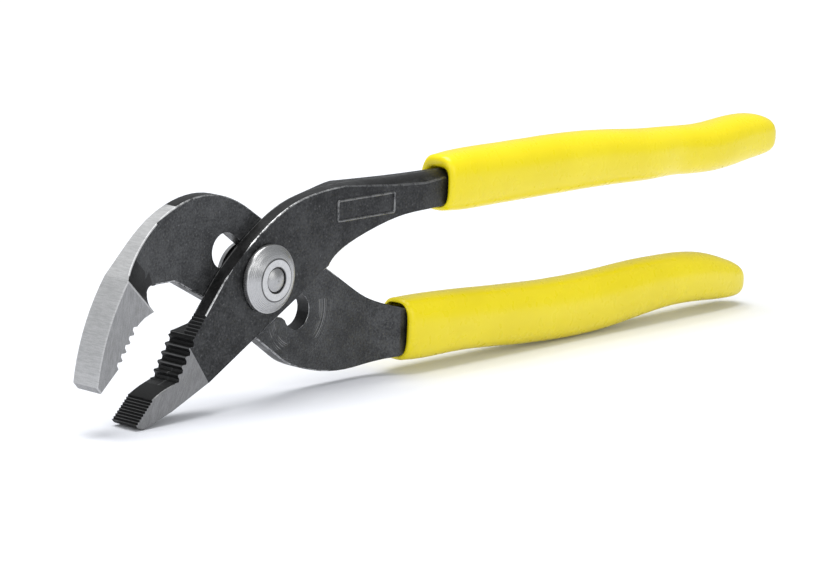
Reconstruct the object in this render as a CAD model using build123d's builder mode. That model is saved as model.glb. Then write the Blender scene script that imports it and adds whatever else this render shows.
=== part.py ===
from build123d import *
from math import atan2, cos, hypot, radians, sin
import os

# Slip-joint pliers standing on edge: +X towards the handle ends, +Z up, +Y towards the rear.
# The origin is on the pivot axis, midway between the outer faces of the joint. Millimetres.

# Joint plates
joint_thickness = 7.4         # front face to rear face of the joint and of both jaws
plate_gap = 0.1               # air between the two joint plates
plate_below = 11.1            # slot's centre line to the rear plate's lower edge
plate_above = 13.0            # slot's centre line to the highest point of the plate's upper edge
shoulder_room = 2.1           # lower jaw's shoulder to the rear plate
neck_room = 2.3               # upper neck's shoulder to the rear plate
closing_angle = 2.0           # levers swing closed from rest
opening_angle = 55.0          # levers swing open from rest

# Pivot bolt and its slot in the rear lever
bolt_radius = 3.95
bolt_flat_depth = 0.65        # cut off the bolt's side, so that it passes the crests
seat_count = 6
seat_pitch = 5.82
seats_above_pivot = 2         # seats between the upper end of the slot and the pivot at rest
slot_angle = -34.5            # direction of the slot, measured from +X
bolt_fit = 0.05               # radial running clearance in the front lever's hole
seat_fit = 0.1                # radial clearance in the seats
flat_fit = 0.1                # clearance of the bolt's flat over the crests
face_fit = 0.06               # air between the hardware and the plates

# Bolt head, riveted end and collar
head_overlap = 3.15           # head beyond the seats
head_height = 2.4
head_edge = 0.9
collar_overlap = 3.7          # collar beyond the front lever's hole
collar_rim = 1.3
collar_height = 3.0
collar_land_width = 1.8       # flat ring round the riveted end
rivet_step = 1.3              # shoulder of the bolt under the collar
rivet_fit = 0.15              # visible ring round the riveted end
rivet_seat_depth = 0.7        # depth of that ring
rivet_dome = 0.5
rivet_edge = 0.25             # the rivet's side ends this far below the collar's land

# Handles
tang_thickness = 6.0
side_wall = 2.8               # grip beside the tang
mouth_wall = 1.8              # grip beside the tang at its mouth
edge_wall = 3.2               # grip above and below the tang
upper_mouth = 61.0            # where the upper grip starts
upper_grip_length = 140.4
lower_mouth = 48.6            # where the lower grip starts
lower_grip_length = 142.6
neck_taper = 8.0              # length over which a neck thins to its tang
section_rounding = 0.42       # corner radius of a grip's section, as a share of its smaller side

# Teeth
coarse_count = 5
coarse_depth = 1.0
fine_count = 9
fine_depth = 0.3
ridge_count = 7
ridge_depth = 0.25

half = joint_thickness / 2
gap_face = plate_gap / 2
far = 150.0
seat_radius = bolt_radius + seat_fit
channel_depth = bolt_radius - bolt_flat_depth + flat_fit
rest_offset = seats_above_pivot * seat_pitch
slot_length = (seat_count - 1) * seat_pitch
slot_x, slot_z = cos(radians(slot_angle)), sin(radians(slot_angle))
grip_thickness = tang_thickness + 2 * side_wall
mouth_fullness = (tang_thickness + 2 * mouth_wall) / grip_thickness

# Grip sections from mouth to end: share of the grip's length, upper edge, lower edge, and
# share of the grip's full thickness
upper_sections = [
    (0.0, 21.5, 8.9, mouth_fullness), (0.036, 22.3, 8.3, 0.93), (0.135, 23.0, 8.2, 1.0),
    (0.292, 23.4, 8.5, 1.0), (0.449, 23.1, 8.8, 1.0), (0.605, 21.9, 8.7, 1.0),
    (0.734, 21.4, 8.6, 1.0), (0.862, 22.5, 9.5, 1.0), (0.940, 22.0, 11.0, 0.90),
    (0.983, 19.4, 12.6, 0.66), (1.0, 17.2, 14.4, 0.29),
]
lower_sections = [
    (0.0, -10.9, -25.2, mouth_fullness), (0.038, -10.8, -26.0, 0.93), (0.150, -11.2, -26.2, 1.0),
    (0.290, -12.2, -27.4, 1.0), (0.417, -12.8, -28.4, 1.0), (0.543, -12.6, -28.3, 1.0),
    (0.655, -12.0, -26.9, 1.0), (0.753, -12.0, -25.8, 1.0), (0.851, -13.0, -26.0, 1.0),
    (0.928, -15.8, -26.6, 0.90), (0.980, -19.0, -26.0, 0.66), (1.0, -21.4, -24.4, 0.29),
]


def teeth(start, end, count, depth):
    """Points of a row of teeth cut into the left of the line from start to end, without its ends."""
    length = hypot(end[0] - start[0], end[1] - start[1])
    a = atan2(end[1] - start[1], end[0] - start[0])
    points = []
    for i in range(count):
        for share, cut in ((0.12, 0.0), (0.45, 1.0), (0.75, 0.8), (0.95, 0.0)):
            run = (i + share) * length / count
            points.append((start[0] + run * cos(a) - cut * depth * sin(a),
                           start[1] + run * sin(a) + cut * depth * cos(a)))
    return points


def by_slot(run, rise):
    """Point at a run along the slot's centre line from the pivot, and a rise above that line."""
    return (run * slot_x - rise * slot_z, run * slot_z + rise * slot_x)


def tang_points(sections, mouth, length):
    """Upper edge, end and lower edge of the tang inside a grip, in order round the tang."""
    inner = [(mouth + share * length, top - edge_wall, bottom + edge_wall)
             for share, top, bottom, fullness in sections[2:-3]]
    upper = [(x, top) for x, top, bottom in inner]
    lower = [(x, bottom) for x, top, bottom in reversed(inner)]
    x, top, bottom = inner[-1]
    return upper, (x + (top - bottom) / 2, (top + bottom) / 2), lower


# Side outline of the rear lever: hooked upper jaw, joint plate, neck and tang
with BuildSketch() as rear_outline:
    with BuildLine():
        outer_tip, inner_tip = (-50.6, -17.6), (-49.3, -19.0)
        shin_top, hook_top, hook_end = (-42.4, 4.3), (-16.5, 19.5), (-1.6, 14.7)
        plate_end = by_slot(25.0, plate_above)
        ThreePointArc(outer_tip, (-48.0, -6.4), shin_top)
        Spline(shin_top, (-31.0, 14.8), hook_top, hook_end,
               tangents=[(0.72, 0.69), (0.84, -0.54)])
        Polyline(hook_end, by_slot(-2.9, plate_above - 1.5), plate_end)
        neck_top, neck_bottom = (lower_mouth + 3.4, -13.6), (lower_mouth + 3.4, -23.2)
        Spline(plate_end, (39.0, -9.8), neck_top, tangents=[(0.86, -0.52), (0.97, -0.24)])
        upper, tang_end, lower = tang_points(lower_sections, lower_mouth, lower_grip_length)
        Spline(neck_top, *upper)
        ThreePointArc(upper[-1], tang_end, lower[0])
        Spline(*lower, neck_bottom)
        plate_low, plate_high = by_slot(20.1, -plate_below), by_slot(-7.8, -plate_below)
        Spline(neck_bottom, (40.4, -25.0), (29.0, -25.5), (18.0, -23.6), plate_low,
               tangents=[(-1.0, -0.15), (-0.84, 0.54)])
        Polyline(plate_low, plate_high, (-23.0, 0.6), (-25.0, 1.5), (-32.4, 1.5))
        ThreePointArc((-32.4, 1.5), (-35.0, -0.3), (-34.2, -3.3))
        tooth_top, tooth_end = (-39.2, -5.6), (-44.6, -14.4)
        Polyline((-34.2, -3.3), (-37.2, -4.4), tooth_top,
                 *teeth(tooth_top, tooth_end, coarse_count, -coarse_depth), tooth_end)
        Polyline(tooth_end, inner_tip, outer_tip)
    make_face()


# Side outline of the front lever: lower jaw, joint plate, neck and tang
with BuildSketch() as front_outline:
    with BuildLine():
        tip, facet_start, facet_end = (-38.9, -27.3), (-34.3, -22.5), (-27.8, -20.0)
        root, shoulder = (-22.6, -10.9), (-15.6, -1.9)
        ridge_end = (-18.9, -6.1)
        Polyline(tip, *teeth(tip, facet_start, fine_count, -fine_depth), facet_start)
        ThreePointArc(facet_start, (-31.2, -21.0), facet_end)
        Polyline(facet_end, *teeth(facet_end, root, coarse_count, -coarse_depth), root)
        Polyline(root, *teeth(root, ridge_end, ridge_count, -ridge_depth), ridge_end, shoulder)
        neck_top, neck_bottom = (upper_mouth - 1.0, 18.6), (upper_mouth - 1.0, 10.2)
        Spline(shoulder, (-10.3, 3.9), (-1.2, 11.1), (8.2, 15.9), (22.0, 18.2), neck_top,
               tangents=[(0.6, 0.8), (1.0, 0.03)])
        upper, tang_end, lower = tang_points(upper_sections, upper_mouth, upper_grip_length)
        Spline(neck_top, *upper)
        ThreePointArc(upper[-1], tang_end, lower[0])
        Spline(*lower, neck_bottom)
        Spline(neck_bottom, (45.4, 9.6), (33.0, 6.9), (24.2, 3.6), (20.4, 0.4),
               tangents=[(-1.0, -0.02), (-0.5, -0.86)])
        Polyline((20.4, 0.4), (19.0, -0.3), (16.8, -1.1), (9.8, -5.9), (-17.4, -21.3))
        Polyline((-17.4, -21.3), (-28.0, -25.9), (-36.4, -28.7), (-38.2, -28.1), tip)
    make_face()


# Rear lever: hooked upper jaw, slotted plate at the rear of the joint, tang of the lower handle
ramp_foot = -31.0             # where the jaw's hollow ramp meets the plate
ramp_step = 0.2               # small edge left at the foot of the ramp
ramp_overrun = 1.0            # the ramp's cut reaches this far past the foot and the front face
ramp_sections = [(-6.2, 0.6), (20.0, 28.0)]    # height and width of the ramp
neck_hollow = 0.3             # how far the neck's hollow sags, as a share of the tang's half thickness
with BuildPart() as rear_lever:
    with BuildSketch(Plane.XZ.offset(half)):
        add(rear_outline.sketch_local)
    extrude(amount=-joint_thickness)
    # Seen from above: full thickness at the jaw, rear half at the joint, centred tang
    with BuildSketch(Plane.XY.offset(-far)):
        with BuildLine():
            tang_side = tang_thickness / 2
            neck_end = lower_mouth - 1.6
            neck_start = neck_end - neck_taper - 1.0
            neck_middle = (neck_start + neck_end) / 2
            Polyline((-far, half), (neck_start, half), (neck_end, tang_side), (2 * far, tang_side),
                     (2 * far, -tang_side), (neck_end, -tang_side))
            ThreePointArc((neck_end, -tang_side), (neck_middle, -neck_hollow * tang_side),
                          (neck_start, gap_face))
            Polyline((neck_start, gap_face), (ramp_foot, gap_face), (ramp_foot, -half),
                     (-far, -half), (-far, half))
        make_face()
    extrude(amount=2 * far, mode=Mode.INTERSECT)
    # Hollow ramp on the jaw's front, narrow at the throat and wide at the top of the hook
    for z, width in ramp_sections:
        with BuildSketch(Plane.XY.offset(z)):
            with BuildLine():
                ramp_top = (ramp_foot - width, -half)
                ramp_end = (ramp_foot + ramp_overrun, gap_face - ramp_step)
                ThreePointArc(ramp_top, (ramp_foot - 0.42 * width, -0.32 * half), ramp_end)
                Polyline(ramp_end, (ramp_foot + ramp_overrun, -half - ramp_overrun),
                         (ramp_foot - width, -half - ramp_overrun), ramp_top)
            make_face()
    loft(ruled=True, mode=Mode.SUBTRACT)
    # Slot: a straight upper wall, and round seats with crests between them below
    with BuildSketch(Plane.XZ.offset(-half)):
        for i in range(seat_count):
            with Locations(by_slot(i * seat_pitch - rest_offset, 0)):
                Circle(seat_radius)
        with Locations(by_slot(slot_length / 2 - rest_offset, (seat_radius - channel_depth) / 2)):
            Rectangle(slot_length, seat_radius + channel_depth, rotation=slot_angle)
    extrude(amount=joint_thickness, mode=Mode.SUBTRACT)
rear_lever.part.label = "rear_lever"

# Front lever: lower jaw, plate at the front of the joint, tang of the upper handle
jaw_shoulder = -13.2          # the lower jaw has its full thickness on this side of it
ramp_start, ramp_finish = 12.0, 32.0    # the plate thickens to the neck between these
swing_steps = 6
crown_top = 18.9              # height of the neck's crown
crown_reach = half + 0.3      # its sections are drawn out to just past the faces
crown_bulge = 0.3             # fall at half the reach, as a share of the whole fall
crown_sections = [(24.0, 0.6), (44.0, 2.4), (upper_mouth + 6.0, 3.5)]    # place and fall
with BuildPart() as front_lever:
    with BuildSketch(Plane.XZ.offset(half)):
        add(front_outline.sketch_local)
    extrude(amount=-joint_thickness)
    with BuildSketch(Plane.XY.offset(-far)):
        with BuildLine():
            Polyline((-far, -half), (upper_mouth - neck_taper, -half), (upper_mouth, -tang_side),
                     (2 * far, -tang_side), (2 * far, tang_side), (upper_mouth, tang_side),
                     (upper_mouth - neck_taper, half), (ramp_finish, half))
            Spline((ramp_finish, half), (ramp_start, -gap_face), tangents=[(-1, 0), (-1, 0)])
            Polyline((ramp_start, -gap_face), (jaw_shoulder, -gap_face), (jaw_shoulder, half),
                     (-far, half), (-far, -half))
        make_face()
    extrude(amount=2 * far, mode=Mode.INTERSECT)
    # Crowned top of the neck, falling away to both faces
    for side in (-1, 1):
        for x, fall in crown_sections:
            with BuildSketch(Plane.YZ.offset(x)):
                with BuildLine():
                    edge = (side * crown_reach, crown_top - fall)
                    ThreePointArc((0, crown_top), (edge[0] / 2, crown_top - crown_bulge * fall), edge)
                    Polyline(edge, (edge[0], crown_top + crown_reach), (0, crown_top + crown_reach),
                             (0, crown_top))
                make_face()
        loft(ruled=True, mode=Mode.SUBTRACT)
    # Room for the rear plate at every swing of the levers, and for the upper jaw's throat
    with BuildSketch(Plane.XZ.offset(gap_face)):
        for i in range(swing_steps + 1):
            swing = -closing_angle + i * (closing_angle + opening_angle) / swing_steps
            Rectangle(far, 2 * (plate_below + shoulder_room), rotation=slot_angle - swing)
        neck_height = plate_above + neck_room
        a = radians(slot_angle + closing_angle)
        with Locations((-neck_height / 2 * sin(a), neck_height / 2 * cos(a))):
            Rectangle(far, neck_height, rotation=slot_angle + closing_angle)
        with BuildLine():
            Polyline((-30.0, -10.9), (-22.4, -10.2), (-17.0, -9.1), (-12.0, -5.6), (-12.0, 10.0),
                     (-30.0, 10.0), (-30.0, -10.9))
        make_face()
    extrude(amount=-joint_thickness, mode=Mode.SUBTRACT)
    with BuildSketch(Plane.XZ.offset(half)):
        Circle(bolt_radius + bolt_fit)
    extrude(amount=-joint_thickness, mode=Mode.SUBTRACT)
front_lever.part.label = "front_lever"

# Pivot bolt: rear head, flatted shank through both plates, riveted end through the collar
collar_back = -half - face_fit
collar_front = collar_back - collar_height
head_front = half + face_fit
head_back = head_front + head_height
head_radius = seat_radius + head_overlap
rivet_radius = bolt_radius - rivet_step
rivet_end = collar_front - rivet_dome
with BuildPart() as pivot_bolt:
    with BuildSketch(Plane.XY):
        with BuildLine():
            Line((0, head_back), (0, rivet_end))
            TangentArc((0, rivet_end), (rivet_radius, collar_front + rivet_edge), tangent=(1, 0))
            Polyline((rivet_radius, collar_front + rivet_edge), (rivet_radius, collar_back),
                     (bolt_radius, collar_back), (bolt_radius, head_front), (head_radius, head_front),
                     (head_radius, head_front + head_edge))
            TangentArc((0, head_back), (head_radius, head_front + head_edge), tangent=(1, 0))
        make_face()
    revolve(axis=Axis.Y)
    with BuildSketch(Plane.XZ.offset(-half)):
        with Locations(by_slot(0, -(bolt_radius - bolt_flat_depth) - bolt_radius / 2)):
            Rectangle(4 * bolt_radius, bolt_radius, rotation=slot_angle)
    extrude(amount=half, mode=Mode.SUBTRACT)
pivot_bolt.part.label = "pivot_bolt"

# Pivot collar: turned cone with a flat land, riveted over by the bolt's end
collar_radius = bolt_radius + bolt_fit + collar_overlap
ring_radius = rivet_radius + rivet_fit
with BuildPart() as pivot_collar:
    with BuildSketch(Plane.XY):
        with BuildLine():
            Polyline((rivet_radius, collar_back), (collar_radius, collar_back),
                     (collar_radius, collar_back - collar_rim),
                     (ring_radius + collar_land_width, collar_front), (ring_radius, collar_front),
                     (ring_radius, collar_front + rivet_seat_depth),
                     (rivet_radius, collar_front + rivet_seat_depth), (rivet_radius, collar_back))
        make_face()
    revolve(axis=Axis.Y)
pivot_collar.part.label = "pivot_collar"

# Grips: dipped sleeves over the tangs
with BuildPart() as upper_grip:
    for share, top, bottom, fullness in upper_sections:
        thickness, height = fullness * grip_thickness, top - bottom
        place = (upper_mouth + share * upper_grip_length, 0, (top + bottom) / 2)
        with BuildSketch(Plane(origin=place, x_dir=(0, 1, 0), z_dir=(1, 0, 0))):
            RectangleRounded(thickness, height, section_rounding * min(thickness, height))
    loft()
    add(front_lever.part, mode=Mode.SUBTRACT)
upper_grip.part.label = "upper_grip"

with BuildPart() as lower_grip:
    for share, top, bottom, fullness in lower_sections:
        thickness, height = fullness * grip_thickness, top - bottom
        place = (lower_mouth + share * lower_grip_length, 0, (top + bottom) / 2)
        with BuildSketch(Plane(origin=place, x_dir=(0, 1, 0), z_dir=(1, 0, 0))):
            RectangleRounded(thickness, height, section_rounding * min(thickness, height))
    loft()
    add(rear_lever.part, mode=Mode.SUBTRACT)
lower_grip.part.label = "lower_grip"

os.makedirs("parts", exist_ok=True)
export_step(front_lever.part, "parts/front_lever.step")
export_step(rear_lever.part, "parts/rear_lever.step")
export_step(pivot_bolt.part, "parts/pivot_bolt.step")
export_step(pivot_collar.part, "parts/pivot_collar.step")
export_step(upper_grip.part, "parts/upper_grip.step")
export_step(lower_grip.part, "parts/lower_grip.step")
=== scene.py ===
import math

import bmesh
import bpy
import numpy as np
from mathutils import Matrix, Vector


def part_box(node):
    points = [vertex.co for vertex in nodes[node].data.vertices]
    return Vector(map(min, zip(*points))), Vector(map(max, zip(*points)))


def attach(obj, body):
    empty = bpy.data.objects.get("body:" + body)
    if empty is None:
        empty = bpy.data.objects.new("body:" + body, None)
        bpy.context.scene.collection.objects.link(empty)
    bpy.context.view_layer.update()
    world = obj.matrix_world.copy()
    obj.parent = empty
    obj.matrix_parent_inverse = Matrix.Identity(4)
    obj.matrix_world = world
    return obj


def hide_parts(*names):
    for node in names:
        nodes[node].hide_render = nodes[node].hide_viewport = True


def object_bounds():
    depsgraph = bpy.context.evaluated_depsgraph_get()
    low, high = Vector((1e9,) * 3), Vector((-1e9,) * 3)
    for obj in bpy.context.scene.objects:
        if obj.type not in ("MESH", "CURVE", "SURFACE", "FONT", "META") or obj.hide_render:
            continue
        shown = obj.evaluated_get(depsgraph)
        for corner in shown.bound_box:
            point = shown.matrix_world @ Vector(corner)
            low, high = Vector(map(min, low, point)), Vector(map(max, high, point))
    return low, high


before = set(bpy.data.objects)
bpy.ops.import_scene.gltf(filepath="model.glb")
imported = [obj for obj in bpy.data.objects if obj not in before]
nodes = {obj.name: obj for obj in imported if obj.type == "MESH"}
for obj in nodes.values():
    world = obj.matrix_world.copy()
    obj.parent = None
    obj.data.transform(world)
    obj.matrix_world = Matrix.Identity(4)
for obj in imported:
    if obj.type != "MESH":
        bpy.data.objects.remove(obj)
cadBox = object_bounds()
mm = 0.001
print("frame loaded", [round(v, 4) for corner in cadBox for v in corner])


class Wire:
    # an output socket that takes part in plain expressions
    def __init__(self, graph, socket):
        self.graph, self.socket = graph, socket

    def maths(self, operation, other=0.0, swapped=False):
        first, second = (other, self) if swapped else (self, other)
        return self.graph.node("ShaderNodeMath", {"operation": operation}, {0: first, 1: second})

    def __add__(self, other):
        return self.maths("ADD", other)

    def __radd__(self, other):
        return self.maths("ADD", other, True)

    def __sub__(self, other):
        return self.maths("SUBTRACT", other)

    def __rsub__(self, other):
        return self.maths("SUBTRACT", other, True)

    def __mul__(self, other):
        return self.maths("MULTIPLY", other)

    def __rmul__(self, other):
        return self.maths("MULTIPLY", other, True)

    def __truediv__(self, other):
        return self.maths("DIVIDE", other)

    def __rtruediv__(self, other):
        return self.maths("DIVIDE", other, True)

    def __pow__(self, other):
        return self.maths("POWER", other)

    def __rpow__(self, other):
        return self.maths("POWER", other, True)

    def __lt__(self, other):
        return self.maths("LESS_THAN", other)

    def __gt__(self, other):
        return self.maths("GREATER_THAN", other)

    def __abs__(self):
        return self.maths("ABSOLUTE")


class Graph:
    # one way to add any node: its settings first, then values or links for its sockets
    def __init__(self, tree):
        self.tree = tree

    def node(self, kind, settings=None, values=None, output=0):
        made = self.tree.nodes.new(kind)
        for key, value in (settings or {}).items():
            setattr(made, key, value)
        for key, value in (values or {}).items():
            if isinstance(value, Wire):
                self.tree.links.new(value.socket, made.inputs[key])
            else:
                made.inputs[key].default_value = value
        return Wire(self, made.outputs[output])


class Finish(Graph):
    # a material with the shader's fixed sockets given by name
    def __init__(self, name, **constants):
        self.material = bpy.data.materials.new(name)
        self.material.use_nodes = True
        super().__init__(self.material.node_tree)
        self.shader = self.tree.nodes["Principled BSDF"]
        for key, value in constants.items():
            self.shader.inputs[key.replace("_", " ")].default_value = value

    def feed(self, **inputs):
        for key, wire in inputs.items():
            self.tree.links.new(wire.socket, self.shader.inputs[key.replace("_", " ")])
        return self.material

    def place(self, centre=(0, 0, 0), turn=(0, 0, 0), scale=(1, 1, 1)):
        raw = self.node("ShaderNodeTexCoord", output="Object")
        return self.node("ShaderNodeMapping", {"vector_type": "TEXTURE"},
                         {"Vector": raw, "Location": centre, "Rotation": turn, "Scale": scale})

    def noise(self, where, size, detail=3.0, roughness=0.55):
        return self.node("ShaderNodeTexNoise", None,
                         {"Vector": where, "Scale": 1 / size, "Detail": detail, "Roughness": roughness})

    def lines(self, along, pitch, detail):
        return self.node("ShaderNodeTexNoise", {"noise_dimensions": "1D"},
                         {"W": along / pitch, "Detail": detail})

    def smooth(self, value, low, high, start=0.0, end=1.0):
        return self.node("ShaderNodeMapRange", {"interpolation_type": "SMOOTHSTEP"},
                         {"Value": value, "From Min": low, "From Max": high,
                          "To Min": start, "To Max": end})

    def mix(self, factor, first, second):
        return self.node("ShaderNodeMix", {"data_type": "RGBA"}, {0: factor, 6: first, 7: second}, 2)

    def bump(self, height, strength, distance):
        return self.node("ShaderNodeBump", None,
                         {"Height": height, "Strength": strength, "Distance": distance})

    def axis(self, where, number):
        return self.node("ShaderNodeSeparateXYZ", None, {0: where}, number)

    def radius(self, where):
        # distance from the axis that runs along Y through the origin of where
        across, upward = self.axis(where, 0), self.axis(where, 2)
        return (across * across + upward * upward) ** 0.5


def grey(level, warm=0.0):
    return (level * (1 + warm), level, level * (1 - warm), 1.0)


noiseSpan = (0.3, 0.7)      # nearly all of a noise lies between these

oxide = {
    "rearDark": grey(0.022, -0.03), "rearLight": grey(0.085, -0.02),
    # the front lever's oxide is a darker copy of the rear's: painted shade that offsets the stronger
    # light on its face
    "frontShadedDark": grey(0.012, -0.03), "frontShadedPale": grey(0.058, -0.02), "rub": grey(0.26),
    "grain": 0.5 * mm, "blotch": 3.4 * mm, "cloud": 13 * mm, "pits": 0.9 * mm,
    "toLight": (0.56, 0.95), "rubbed": (0.62, 0.76), "rubStrength": 0.4,
    "rough": (0.36, 0.56), "bump": 0.4, "relief": 0.06 * mm,
}


def oxideColour(g, where, dark, light):
    grain = g.noise(where, oxide["grain"], 4.0, 0.65)
    blotch = g.noise(where, oxide["blotch"], 4.0, 0.6)
    cloud = g.noise(where, oxide["cloud"], 2.0)
    level = g.smooth(grain * 0.75 + blotch * 0.4 + cloud * 0.35, *oxide["toLight"])
    return g.mix(level, dark, light), grain, blotch


# thin rings that the other lever has worn round the slot's last seat
arcs = {
    "centre": (14.4 * mm, 0, -9.9 * mm), "nearest": 6.5 * mm, "fadeIn": 1 * mm, "fadeOut": 3 * mm,
    "farthest": 12.5 * mm, "pitch": 1.1 * mm, "lines": (0.56, 0.64), "patch": 7 * mm,
    "patches": (0.46, 0.56), "below": 2 * mm, "strength": 0.8,
}


def wornArcs(g, where):
    local = g.place(centre=arcs["centre"])
    radius = g.radius(local)
    lines = g.smooth(g.lines(radius, arcs["pitch"], 2.0), *arcs["lines"])
    patch = g.smooth(g.noise(where, arcs["patch"], 2.0), *arcs["patches"])
    reach = g.smooth(radius, arcs["nearest"], arcs["nearest"] + arcs["fadeIn"])
    reach = reach * g.smooth(radius, arcs["farthest"] - arcs["fadeOut"], arcs["farthest"], 1.0, 0.0)
    return lines * patch * reach * (g.axis(local, 2) < arcs["below"]) * arcs["strength"]


def blackOxide(name, dark, light, arced):
    g = Finish(name, Metallic=0.72)
    where = g.place()
    colour, grain, blotch = oxideColour(g, where, dark, light)
    pits = g.noise(where, oxide["pits"], 2.0)
    marks = g.smooth(grain, *oxide["rubbed"]) * oxide["rubStrength"]
    if arced:
        marks = marks + wornArcs(g, where)
    return g.feed(Base_Color=g.mix(marks, colour, oxide["rub"]),
                  Roughness=g.smooth(blotch * 0.6 + grain * 0.4, *noiseSpan, *oxide["rough"]),
                  Normal=g.bump(grain * 0.7 + pits * 0.6 - marks * 0.5, oxide["bump"], oxide["relief"]))


# forge scale on the narrow sides, painted darker than the faces: partly real unrubbed scale, partly
# painted shade; with the faint line where the dies met
forging = {
    "dark": grey(0.004), "light": grey(0.022), "rough": (0.34, 0.5), "bump": 0.4, "relief": 0.08 * mm,
    "seam": -0.4 * mm, "seamWidth": (0.05 * mm, 0.2 * mm), "seamBreaks": 1.2 * mm, "broken": (0.35, 0.6),
    "seamStrength": 0.5,
}


def forgeScaleAndShade():
    g = Finish("forgeScaleAndShade", Metallic=0.5, Specular_IOR_Level=0.4)
    where = g.place()
    colour, grain, blotch = oxideColour(g, where, forging["dark"], forging["light"])
    seam = g.smooth(abs(g.axis(where, 1) - forging["seam"]), *forging["seamWidth"], 1.0, 0.0)
    seam = seam * g.smooth(g.noise(where, forging["seamBreaks"], 2.0), *forging["broken"])
    return g.feed(Base_Color=g.mix(seam * forging["seamStrength"], colour, oxide["rub"]),
                  Roughness=g.smooth(blotch, *noiseSpan, *forging["rough"]),
                  Normal=g.bump(grain * 0.6 + blotch * 0.6 + seam, forging["bump"], forging["relief"]))


wear = {"patch": 2.2 * mm, "spread": 0.2, "rough": (0.5, 0.34), "bump": 0.25, "relief": 0.04 * mm}


def wornEdgeAndSheen(name, level, startsAt):
    # oxide worn through to steel in patches; the lighter rubbed copy is partly painted highlight
    g = Finish(name, Metallic=0.95)
    where = g.place()
    colour, grain, blotch = oxideColour(g, where, oxide["rearDark"], oxide["rearLight"])
    patches = g.noise(where, wear["patch"], 4.0, 0.7) * 0.7 + grain * 0.3
    worn = g.smooth(patches, startsAt, startsAt + wear["spread"])
    return g.feed(Base_Color=g.mix(worn, colour, grey(level)),
                  Roughness=g.smooth(worn, 0.0, 1.0, *wear["rough"]),
                  Normal=g.bump(grain, wear["bump"], wear["relief"]))


grinding = {
    "fine": 0.26 * mm, "broad": 1.3 * mm, "grit": 0.22 * mm, "marks": (0.36, 0.64), "markDepth": 0.74,
    "stain": 6 * mm, "stained": (0.55, 0.78), "stainDepth": 0.5, "stainStrength": 0.3,
    "rough": (0.52, 0.40), "bump": 0.28, "relief": 0.03 * mm,
}


def groundSteel(name, level, turn, stretch, metal=0.9):
    # the marks of the grinding wheel run along the axis that is stretched most
    g = Finish(name, Metallic=metal)
    along = g.place(turn=turn, scale=stretch)
    fine, broad = g.noise(along, grinding["fine"], 3.0, 0.6), g.noise(along, grinding["broad"], 2.0)
    where = g.place()
    marks = fine * 0.5 + broad * 0.2 + g.noise(where, grinding["grit"], 2.0) * 0.3
    stain = g.smooth(g.noise(where, grinding["stain"], 3.0), *grinding["stained"])
    stain = stain * grinding["stainStrength"]
    colour = g.mix(g.smooth(marks, *grinding["marks"]), grey(level * grinding["markDepth"]), grey(level))
    return g.feed(Base_Color=g.mix(stain, colour, grey(level * grinding["stainDepth"])),
                  Roughness=g.smooth(marks, *noiseSpan, *grinding["rough"]),
                  Normal=g.bump(marks, grinding["bump"], grinding["relief"]))


teeth = {
    "dark": grey(0.004), "light": grey(0.014), "grain": 0.4 * mm, "blotches": (0.35, 0.75),
    "rough": (0.42, 0.58), "bump": 0.3, "relief": 0.04 * mm,
}


def toothBlack():
    g = Finish("blackenedTeeth", Metallic=0.15, Specular_IOR_Level=0.2)
    grain = g.noise(g.place(), teeth["grain"], 3.0)
    return g.feed(Base_Color=g.mix(g.smooth(grain, *teeth["blotches"]), teeth["dark"], teeth["light"]),
                  Roughness=g.smooth(grain, *noiseSpan, *teeth["rough"]),
                  Normal=g.bump(grain, teeth["bump"], teeth["relief"]))


turning = {
    "pitch": 0.34 * mm, "speck": 0.5 * mm, "rings": (0.34, 0.66), "ringDepth": 0.72, "coneDepth": 0.4,
    "coneStrength": 0.38, "coneBlend": 0.1 * mm, "crease": (0.04 * mm, 0.24 * mm), "creaseStrength": 0.85,
    "creaseShade": grey(0.01),
    "rough": (0.36, 0.24), "bump": 0.3, "relief": 0.03 * mm,
}


def turnedSteel(name, level, creases, coneFrom):
    # fine turning rings, a cone painted darker than the land, and painted shade lines in the creases
    g = Finish(name, Metallic=0.95)
    where = g.place()
    radius = g.radius(where)
    ring = g.lines(radius, turning["pitch"], 3.0)
    speck = g.noise(where, turning["speck"], 3.0)
    turned = g.mix(g.smooth(ring * 0.7 + speck * 0.3, *turning["rings"]),
                   grey(level * turning["ringDepth"]), grey(level))
    cone = g.smooth(radius, coneFrom, coneFrom + turning["coneBlend"], 0.0, turning["coneStrength"])
    darkerCone = g.mix(cone, turned, grey(level * turning["coneDepth"]))
    # painted shade along each crease
    dark = sum((g.smooth(abs(radius - crease), *turning["crease"], turning["creaseStrength"], 0.0)
                for crease in creases), 0.0)
    return g.feed(Base_Color=g.mix(dark, darkerCone, turning["creaseShade"]),
                  Roughness=g.smooth(ring, *noiseSpan, *turning["rough"]),
                  Normal=g.bump(ring, turning["bump"], turning["relief"]))


dip = {
    "deep": (0.76, 0.625, 0.001, 1), "pale": (0.79, 0.655, 0.002, 1), "cloud": 18 * mm, "skin": 2.6 * mm,
    "clouds": (0.35, 0.65),
    "rough": (0.26, 0.34), "coat": (0.04, 0.10),
}


def vinyl():
    g = Finish("yellowVinyl", IOR=1.42, Coat_Roughness=0.25)
    where = g.place()
    cloud, skin = g.noise(where, dip["cloud"], 2.0), g.noise(where, dip["skin"], 1.0)
    return g.feed(Base_Color=g.mix(g.smooth(cloud, *dip["clouds"]), dip["deep"], dip["pale"]),
                  Roughness=g.smooth(skin, *noiseSpan, *dip["rough"]),
                  Coat_Weight=g.smooth(cloud, *noiseSpan, *dip["coat"]))


# the front lever's darker oxide is painted shade
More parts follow.
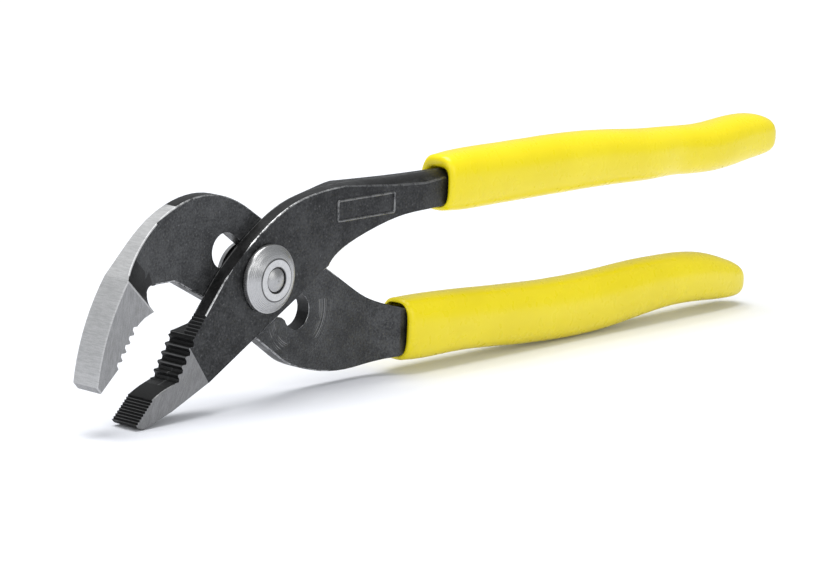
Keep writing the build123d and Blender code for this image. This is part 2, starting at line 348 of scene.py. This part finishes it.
frontShadedOxide = blackOxide("frontBlackOxideShaded", oxide["frontShadedDark"], oxide["frontShadedPale"], False)
rearOxide = blackOxide("rearBlackOxide", oxide["rearDark"], oxide["rearLight"], True)
# the darker scale on the narrow sides is partly painted shade
scale = forgeScaleAndShade()
# rubbed steel: partly wear, partly painted highlight on the neck crown's edges and the panel border
worn, rubbed = wornEdgeAndSheen("wornSteelEdge", 0.50, 0.38), wornEdgeAndSheen("rubbedSteelAndSheen", 0.20, 0.34)
groundUpper = groundSteel("groundUpperJaw", 0.31, (0, 0.1, 0), (1, 1, 7))
groundLower = groundSteel("groundLowerJaw", 0.25, (0, 0.35, 0), (1, 1, 7))
groundShin = groundSteel("groundJawShin", 0.50, (0, 0.15, 0), (5, 9, 1), 0.55)
toothCrest = groundSteel("wornToothCrest", 0.15, (0, 0, 0), (1, 5, 1))
teethBlack = toothBlack()
collarSteel = turnedSteel("turnedCollarSteel", 0.60, (2.9 * mm, 4.75 * mm), 4.8 * mm)
boltSteel = turnedSteel("turnedBoltSteel", 0.42, (), 9 * mm)
gripVinyl = vinyl()
print("materials made")


def asObject(name, mesh, materials):
    made = bpy.data.objects.new(name, mesh)
    bpy.context.scene.collection.objects.link(made)
    for material in materials:
        made.data.materials.append(material)
    return made


def fromBmesh(name, bm, materials):
    mesh = bpy.data.meshes.new(name)
    bm.to_mesh(mesh)
    bm.free()
    return asObject(name, mesh, materials)


def flatten(piece):
    # modifiers become plain mesh
    bpy.context.view_layer.update()
    evaluated = piece.evaluated_get(bpy.context.evaluated_depsgraph_get())
    mesh = bpy.data.meshes.new_from_object(evaluated)
    piece.modifiers.clear()
    old, piece.data = piece.data, mesh
    bpy.data.meshes.remove(old)
    return piece


lever = {
    "edge": 0.28 * mm, "rim": 0.07 * mm, "edgeSteps": 3,            # rounding of outlines and of the slot
    "sharp": math.radians(28), "crease": math.radians(35), "groundCrease": math.radians(9),
    "slotAngle": math.radians(-34.5), "slotReach": 4.7 * mm, "slotFrom": -16.6 * mm, "slotTo": 22.6 * mm,
    "shortestRim": 0.15 * mm, "toothLength": 1.35 * mm, "crestWidth": 0.6 * mm, "acrossTooth": 2 * mm,
    "jawEnd": -18 * mm, "teethBelow": -3.2 * mm, "jawSide": 3 * mm,
    "wornTo": 27 * mm, "neckEnd": 62 * mm, "neckAbove": 14 * mm,    # where edges stop being worn bright
    "mergeWithin": 0.001 * mm, "flatWithin": math.radians(0.3),
}
oxideIndex, wornIndex, scaleAndShadeIndex, faceIndex, shinIndex, toothIndex, crestIndex, rubbedSheenIndex = range(8)


def inSlot(point):
    c, s = math.cos(lever["slotAngle"]), math.sin(lever["slotAngle"])
    run, rise = point.x * c + point.z * s, point.z * c - point.x * s
    return abs(rise) < lever["slotReach"] and lever["slotFrom"] < run < lever["slotTo"]


def beside(point, line):
    # positive on the left of the line from its start to its end, in the side view
    (startX, startZ), (endX, endZ) = line
    return (endX - startX) * (point.z - startZ) - (endZ - startZ) * (point.x - startX)


def middle(edge):
    return (edge.verts[0].co + edge.verts[1].co) / 2


def isSharp(edge):
    return len(edge.link_faces) == 2 and edge.calc_face_angle() > lever["sharp"]


def isTooth(edge):
    place = middle(edge)
    inTeeth = place.x < lever["jawEnd"] and place.z < lever["teethBelow"]
    return inTeeth and edge.calc_length() < lever["toothLength"]


def isOutline(edge):
    return isSharp(edge) and any(abs(face.normal.y) > 0.9 for face in edge.link_faces)


def isCrest(face):
    # a narrow strip between two convex edges that run across the jaw
    across = [e for e in face.edges if abs(e.verts[0].co.y - e.verts[1].co.y) > lever["acrossTooth"]]
    if face.material_index != toothIndex or len(across) != 2:
        return False
    narrow = min(e.calc_length() for e in face.edges) < lever["crestWidth"]
    return narrow and all(isSharp(e) and e.is_convex for e in across)


def cutFrontSide(bm, line):
    # cuts the jaw's front side along the line where the grinding ends
    flats = [f for f in bm.faces if f.normal.y < -0.9 and f.calc_center_median().y < -lever["jawSide"]]
    edges, corners = {e for f in flats for e in f.edges}, {v for f in flats for v in f.verts}
    (startX, startZ), (endX, endZ) = line
    bmesh.ops.bisect_plane(bm, geom=[*flats, *edges, *corners], dist=1e-7, plane_co=(startX, 0, startZ),
                           plane_no=Vector((endZ - startZ, 0, startX - endX)).normalized())


def roundEdges(bm, edges, size, steps, clamp):
    bmesh.ops.bevel(bm, geom=edges, offset=size, offset_type="OFFSET", segments=steps, profile=0.5,
                    affect="EDGES", clamp_overlap=clamp, material=wornIndex)


def leverPiece(name, node, body, style):
    bm = bmesh.new()
    bm.from_mesh(nodes[node].data)
    bmesh.ops.remove_doubles(bm, verts=bm.verts, dist=lever["mergeWithin"])
    bmesh.ops.dissolve_limit(bm, angle_limit=lever["flatWithin"], verts=bm.verts, edges=bm.edges)
    cutFrontSide(bm, style["groundLine"])
    for face in bm.faces:
        face.material_index = style["faceFinish"](face)
        if isCrest(face):
            face.material_index = crestIndex
    outline = [e for e in bm.edges if isOutline(e)
               and not (isTooth(e) or inSlot(middle(e)) or style["keepSharp"](middle(e)))]
    roundEdges(bm, outline, lever["edge"], lever["edgeSteps"], False)
    rims = [e for e in bm.edges if isOutline(e) and inSlot(middle(e))
            and e.calc_length() > lever["shortestRim"]]
    roundEdges(bm, rims, lever["rim"], 1, True)
    bmesh.ops.triangulate(bm, faces=[f for f in bm.faces if len(f.verts) > 4])
    for face in bm.faces:
        face.smooth = abs(face.normal.y) < 0.999
        if face.material_index == wornIndex:
            face.material_index = style["edgeFinish"](face)
    for edge in bm.edges:
        if len(edge.link_faces) == 2:
            ground = all(face.material_index == shinIndex for face in edge.link_faces)
            edge.smooth = edge.calc_face_angle() < (lever["groundCrease"] if ground else lever["crease"])
    piece = fromBmesh(name, bm, [style["oxide"], worn, scale, style["ground"], groundShin, teethBlack,
                                 toothCrest, rubbed])
    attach(piece, body)
    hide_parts(node)
    print(name, len(piece.data.polygons), "faces")


# the front lever: ground beyond groundLine, blackened teeth left of teethLine
lowerJaw = {
    "groundLine": ((-22.8 * mm, -13.4 * mm), (-17.0 * mm, -21.4 * mm)), "groundEnd": -15 * mm,
    "teethLine": ((-39 * mm, -29.4 * mm), (-17 * mm, -9 * mm)), "teethEnd": -18.5 * mm,
}


def onLowerGround(place):
    return beside(place, lowerJaw["groundLine"]) < 0 and place.x < lowerJaw["groundEnd"]


def frontFaces(face):
    place = face.calc_center_median()
    if abs(face.normal.y) > 0.7:
        return faceIndex if onLowerGround(place) else oxideIndex
    if place.x < lowerJaw["teethEnd"] and beside(place, lowerJaw["teethLine"]) > 0:
        return toothIndex
    return scaleAndShadeIndex


def frontEdges(face):
    place = face.calc_center_median()
    if place.x > lever["wornTo"]:
        # the neck crown's edges take the rubbed steel: partly wear, partly a painted highlight along the
        # crown
        return rubbedSheenIndex if place.z > lever["neckAbove"] and place.x < lever["neckEnd"] else oxideIndex
    return faceIndex if onLowerGround(place) else wornIndex


# the rear lever: the hook's front side is ground, and its hollow ramp meets the plate at rampFoot
upperJaw = {
    "groundLine": ((-34.2 * mm, -3.3 * mm), (-41.4 * mm, 3.3 * mm)), "groundEnd": -33 * mm,
    "shinLine": ((-51 * mm, -18 * mm), (-25 * mm, 10 * mm)), "shinEnd": -25 * mm,
    "tipEnd": -49.4 * mm, "tipTop": -17 * mm, "teethEnd": -34 * mm, "teethTop": 2 * mm,
    "rampFoot": -31 * mm, "footWidth": 0.8 * mm, "footDepth": 1.5 * mm, "rampEnd": -30 * mm,
}


def onShin(place):
    return place.x < upperJaw["shinEnd"] and beside(place, upperJaw["shinLine"]) > 0


def onUpperGround(place):
    return beside(place, upperJaw["groundLine"]) > 0


def onRampFoot(place):
    near = abs(place.x - upperJaw["rampFoot"]) < upperJaw["footWidth"]
    return near and abs(place.y) < upperJaw["footDepth"]


def rearFaces(face):
    place = face.calc_center_median()
    if abs(face.normal.y) > 0.97:
        return faceIndex if onUpperGround(place) and place.y < 0 else oxideIndex
    # the hollow ramp on the hook's front side takes the darker scale as painted shade
    if abs(face.normal.y) > 0.25:
        return scaleAndShadeIndex if place.x < upperJaw["rampEnd"] and place.y < 0 else oxideIndex
    if place.x < upperJaw["tipEnd"] and place.z < upperJaw["tipTop"]:
        return faceIndex
    if onShin(place):
        return shinIndex
    inTeeth = place.x < upperJaw["teethEnd"] and place.z < upperJaw["teethTop"]
    return toothIndex if inTeeth else scaleAndShadeIndex


def rearEdges(face):
    place = face.calc_center_median()
    if place.x > lever["wornTo"]:
        return oxideIndex
    ground = onUpperGround(place) and place.x < upperJaw["groundEnd"]
    return shinIndex if onShin(place) or ground else wornIndex


leverPiece("front_lever_forging", "front_lever", "front_lever_body", {
    "groundLine": lowerJaw["groundLine"], "faceFinish": frontFaces, "edgeFinish": frontEdges,
    "keepSharp": lambda place: False, "oxide": frontShadedOxide, "ground": groundLower})
leverPiece("rear_lever_forging", "rear_lever", "rear_lever_body", {
    "groundLine": upperJaw["groundLine"], "faceFinish": rearFaces, "edgeFinish": rearEdges,
    "keepSharp": onRampFoot, "oxide": rearOxide, "ground": groundUpper})


collar = {
    "steps": 96, "grooves": 9, "pointsPerGroove": 4, "grooveDepth": 0.06 * mm, "crown": 0.16 * mm,
    "edge": 0.18 * mm, "shoulder": 0.57, "land": 4.6 * mm, "landEdge": 0.15 * mm,
    "bore": 2.8 * mm, "boreOverlap": 0.05 * mm, "sharp": math.radians(30),
    # the bore's mouth: how far each step stands out from the bore, and how deep it lies
    "mouth": ((0.25 * mm, 0.0), (0.05 * mm, 0.12 * mm), (0.0, 0.7 * mm)),
}


def lathe(name, outline, materials):
    # turns an outline of radius and y round the pivot's axis
    steps = collar["steps"]
    bm = bmesh.new()
    rings = [[bm.verts.new((r * math.cos(k * math.tau / steps), y, r * math.sin(k * math.tau / steps)))
              for k in range(steps)] for r, y in outline]
    for first, second in zip(rings, rings[1:]):
        for k in range(steps):
            after = (k + 1) % steps
            bm.faces.new((first[k], first[after], second[after], second[k]))
    bmesh.ops.recalc_face_normals(bm, faces=bm.faces)
    for face in bm.faces:
        face.smooth = True
    piece = fromBmesh(name, bm, materials)
    piece.data.set_sharp_from_angle(angle=collar["sharp"])
    return piece


def collarOutline():
    low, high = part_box("pivot_collar")
    back, front, rim, edge, bore = high.y, low.y, high.x, collar["edge"], collar["bore"]
    shoulder = front + collar["shoulder"] * (back - front)
    inside = bore - collar["boreOverlap"]
    points = [(inside, back), (rim - edge, back), (rim, back - edge), (rim, shoulder + edge),
              (rim - 0.4 * edge, shoulder + 0.3 * edge)]
    count = collar["grooves"] * collar["pointsPerGroove"]
    for k in range(count + 1):
        share = k / count
        radius = rim - edge + share * (collar["land"] - rim + edge)
        crown = collar["crown"] * math.sin(math.pi * share)
        cut = collar["grooveDepth"] * (0.5 - 0.5 * math.cos(math.tau * collar["grooves"] * share))
        points.append((radius, shoulder + share * (front - shoulder) - crown + cut))
    points.append((collar["land"] - collar["landEdge"], front))
    points += [(bore + out, front + deep) for out, deep in collar["mouth"]]
    return points + [(inside, back)]


collarPiece = lathe("turned_collar", collarOutline(), [collarSteel])
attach(collarPiece, "pivot_body")
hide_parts("pivot_collar")
nodes["pivot_bolt"].data.materials.clear()
nodes["pivot_bolt"].data.materials.append(boltSteel)
print("pivot made")


class Shape(Graph):
    # a Geometry Nodes tree with named inputs, run once and kept as plain mesh
    def __init__(self, name, **sizes):
        self.group = bpy.data.node_groups.new(name, "GeometryNodeTree")
        super().__init__(self.group)
        self.sizes, self.keys = sizes, {}
        for key in sizes:
            made = self.group.interface.new_socket(key, in_out="INPUT", socket_type="NodeSocketFloat")
            self.keys[key] = made.identifier
        self.group.interface.new_socket("Mesh", in_out="OUTPUT", socket_type="NodeSocketGeometry")
        entry = self.tree.nodes.new("NodeGroupInput")
        self.inputs = {key: Wire(self, entry.outputs[key]) for key in sizes}

    def make(self, name, result, material):
        real = self.node("GeometryNodeRealizeInstances", None, {0: result})
        coloured = self.node("GeometryNodeSetMaterial", None, {"Geometry": real, "Material": material})
        self.tree.links.new(coloured.socket, self.tree.nodes.new("NodeGroupOutput").inputs[0])
        piece = asObject(name, bpy.data.meshes.new(name), [material])
        modifier = piece.modifiers.new("shape", "NODES")
        modifier.node_group = self.group
        for key, value in self.sizes.items():
            modifier[self.keys[key]] = value
        return flatten(piece)


panel = {
    "centre": (32.3 * mm, 12.85 * mm), "length": 19.4 * mm, "height": 4.6 * mm, "corner": 0.5 * mm,
    "cornerSteps": 6, "bead": 0.32 * mm, "beadSides": 10, "lean": math.radians(-1.0),
}


def panelBorder():
    # the raised border of an empty name panel on the neck
    g = Shape("panelBorder", Length=panel["length"], Height=panel["height"], Corner=panel["corner"],
              Bead=panel["bead"])
    outline = g.node("GeometryNodeCurvePrimitiveQuadrilateral", None,
                     {"Width": g.inputs["Length"], "Height": g.inputs["Height"]})
    rounded = g.node("GeometryNodeFilletCurve", {"mode": "POLY"},
                     {"Curve": outline, "Radius": g.inputs["Corner"], "Count": panel["cornerSteps"]})
    bead = g.node("GeometryNodeCurvePrimitiveCircle", None,
                  {"Resolution": panel["beadSides"], "Radius": g.inputs["Bead"]})
    swept = g.node("GeometryNodeCurveToMesh", None, {"Curve": rounded, "Profile Curve": bead})
    x, z = panel["centre"]
    placed = g.node("GeometryNodeTransform", None, {
        "Geometry": swept, "Translation": (x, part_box("front_lever")[0].y, z),
        "Rotation": (math.pi / 2, panel["lean"], 0)})
    # the border's rubbed steel is partly wear, partly painted highlight
    piece = g.make("neck_panel_border", placed, rubbed)
    for polygon in piece.data.polygons:
        polygon.use_smooth = True
    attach(piece, "front_lever_body")


panelBorder()
print("panel border made")


grip = {
    "stations": 150, "around": 80, "sliceReach": 1.6 * mm, "smoothing": 7, "clearance": 0.99,
    "roll": 1.1 * mm, "rollDepth": 0.10, "nose": 5 * mm, "tipInset": 0.02 * mm,
    "power": 2.3, "mouthPower": 2.9, "openingPower": 3.6,       # 2 is an ellipse, more is squarer
    "easing": 22 * mm,
    "gap": 0.35 * mm, "tangReach": 2.5 * mm,
    # the lip's rings: how deep each lies in the mouth, and its share of the way from the tang outwards
    "lip": ((5 * mm, 0.0), (0.9 * mm, 0.0), (0.35 * mm, 0.12), (0.08 * mm, 0.36), (0.0, 0.62)),
}


def meshPoints(node):
    flat = np.empty(len(nodes[node].data.vertices) * 3)
    nodes[node].data.vertices.foreach_get("co", flat)
    return flat.reshape(-1, 3)


def slices(points, x, reach):
    # upper edge, lower edge and half thickness near x
    near = points[np.abs(points[:, 0] - x) < reach]
    return near[:, 2].max(), near[:, 2].min(), np.abs(near[:, 1]).max()


def gripSections(points, start, end):
    # place, middle, half height and half thickness of each section, from the mouth to the nose
    count, half = grip["stations"], grip["smoothing"] // 2
    xs = [start + (end - start) * k / count for k in range(count + 1)]
    sizes = np.array([slices(points, x, grip["sliceReach"]) for x in xs])
    kernel = np.ones(grip["smoothing"]) / grip["smoothing"]
    padded = np.pad(sizes, ((half, half), (0, 0)), mode="edge")
    sizes = np.stack([np.convolve(column, kernel, "valid") for column in padded.T], axis=1)
    sections = []
    for x, (top, bottom, thick) in zip(xs, sizes):
        lip, nose = max(0.0, 1 - (x - start) / grip["roll"]), max(0.0, 1 - (end - x) / grip["nose"])
        size = 1 - grip["rollDepth"] * (1 - math.sqrt(1 - min(1.0, lip) ** 2))
        size *= math.sqrt(max(0.0, 1 - nose ** 2)) * grip["clearance"]
        sections.append((x, (top + bottom) / 2, size * (top - bottom) / 2, size * thick))
    return sections


def gripPiece(name, node, tangNode, body):
    low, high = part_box(node)
    start, end = low.x, high.x
    sections = gripSections(meshPoints(node), start, end)
    around = grip["around"]
    bm = bmesh.new()

    def ring(x, centre, tall, thick, power):
        made = []
        for k in range(around):
            c, s = math.cos(k * math.tau / around), math.sin(k * math.tau / around)
            made.append(bm.verts.new((x, thick * math.copysign(abs(c) ** (2 / power), c),
                                      centre + tall * math.copysign(abs(s) ** (2 / power), s))))
        return made

    x, *outside = sections[0]
    top, bottom, thick = slices(meshPoints(tangNode), x, grip["tangReach"])
    gap = grip["gap"]
    opening = [(top + bottom) / 2, (top - bottom) / 2 + gap, thick + gap, grip["openingPower"]]
    outside.append(grip["mouthPower"])
    rings = [ring(x + depth, *(inner + share * (outer - inner) for inner, outer in zip(opening, outside)))
             for depth, share in grip["lip"]]
    for x, centre, tall, thick in sections[:-1]:
        ease = max(0.0, 1 - min(x - start, end - x) / grip["easing"]) ** 2
        power = grip["power"] + ease * (grip["mouthPower"] - grip["power"])
        rings.append(ring(x, centre, tall, thick, power))
    for first, second in zip(rings, rings[1:]):
        for k in range(around):
            after = (k + 1) % around
            bm.faces.new((first[k], first[after], second[after], second[k]))
    bm.faces.new(rings[0])
    x, centre, tall, thick = sections[-1]
    tip = bm.verts.new((x - grip["tipInset"], 0, centre))
    for k in range(around):
        bm.faces.new((rings[-1][k], rings[-1][(k + 1) % around], tip))
    bmesh.ops.recalc_face_normals(bm, faces=bm.faces)
    for face in bm.faces:
        face.smooth = True
    piece = fromBmesh(name, bm, [gripVinyl])
    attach(piece, body)
    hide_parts(node)
    print(name, len(piece.data.polygons), "faces")


gripPiece("upper_vinyl_grip", "upper_grip", "front_lever", "front_lever_body")
gripPiece("lower_vinyl_grip", "lower_grip", "rear_lever", "rear_lever_body")


studio = {
    "azimuth": -50.22, "elevation": 11.04, "roll": 2.81, "distance": 0.704, "lens": 130.1, "sensor": 36.0,
    "aim": (0.05538, 0.0, -0.0102),
    "floorSize": 12.0, "floorDark": (0.76, 0.77, 0.81, 1), "floorLight": (0.78, 0.79, 0.83, 1),
    "floorCloud": 0.3,
    "skyColour": (0.94, 0.97, 1, 1), "skyStrength": 0.48,
    "sunFrom": (-0.05, 0.10, 1.0), "sunStrength": 3.0, "sunSpread": math.radians(44),
    # soft lamps: place, size and power
    "lamps": {"highlight": ((-0.55, -0.8, 0.75), 0.22, 1.1), "leftKey": ((-1.0, -0.2, 0.5), 0.6, 2.2),
              "frontFill": ((0.1, -1.3, 0.5), 1.0, 4.0)},
}


def floorPiece():
    g = Finish("paleFloor", Roughness=0.7, Emission_Color=(1, 1, 1, 1), Emission_Strength=0.03)
    cloud = g.noise(g.place(), studio["floorCloud"], 2.0)
    material = g.feed(Base_Color=g.mix(cloud, studio["floorDark"], studio["floorLight"]))
    mesh = bpy.data.meshes.new("studio_floor")
    s, z = studio["floorSize"], cadBox[0][2]
    mesh.from_pydata([(-s, -s, z), (s, -s, z), (s, s, z), (-s, s, z)], [], [(0, 1, 2, 3)])
    asObject("studio_floor", mesh, [material])


def lamp(name, kind, place, **settings):
    # every lamp points at the pivot
    data = bpy.data.lights.new(name, kind)
    for key, value in settings.items():
        setattr(data, key, value)
    made = bpy.data.objects.new(name, data)
    made.location = place
    made.rotation_euler = Vector(place).to_track_quat("Z", "Y").to_euler()
    bpy.context.scene.collection.objects.link(made)


def cameraPiece():
    az, el, roll = (math.radians(studio[key]) for key in ("azimuth", "elevation", "roll"))
    back = Vector((math.sin(az) * math.cos(el), -math.cos(az) * math.cos(el), math.sin(el)))
    level = Vector((0, 0, 1)).cross(back).normalized()
    right = level * math.cos(roll) + back.cross(level) * math.sin(roll)
    data = bpy.data.cameras.new("camera")
    data.lens, data.sensor_width, data.clip_start = studio["lens"], studio["sensor"], 0.01
    camera = bpy.data.objects.new("camera", data)
    camera.matrix_world = Matrix.Translation(Vector(studio["aim"]) + back * studio["distance"]) @ Matrix(
        (right, back.cross(right), back)).transposed().to_4x4()
    bpy.context.scene.collection.objects.link(camera)
    bpy.context.scene.camera = camera


floorPiece()
lamp("softSky", "SUN", studio["sunFrom"], energy=studio["sunStrength"], angle=studio["sunSpread"])
for lampName, (lampPlace, lampSize, lampPower) in studio["lamps"].items():
    lamp(lampName, "AREA", lampPlace, shape="DISK", size=lampSize, energy=lampPower)
cameraPiece()
world = bpy.data.worlds.new("studio")
world.use_nodes = True
world.node_tree.nodes["Background"].inputs["Color"].default_value = studio["skyColour"]
world.node_tree.nodes["Background"].inputs["Strength"].default_value = studio["skyStrength"]
bpy.context.scene.world = world
bpy.context.scene.view_settings.view_transform = "Standard"
print("studio ready")
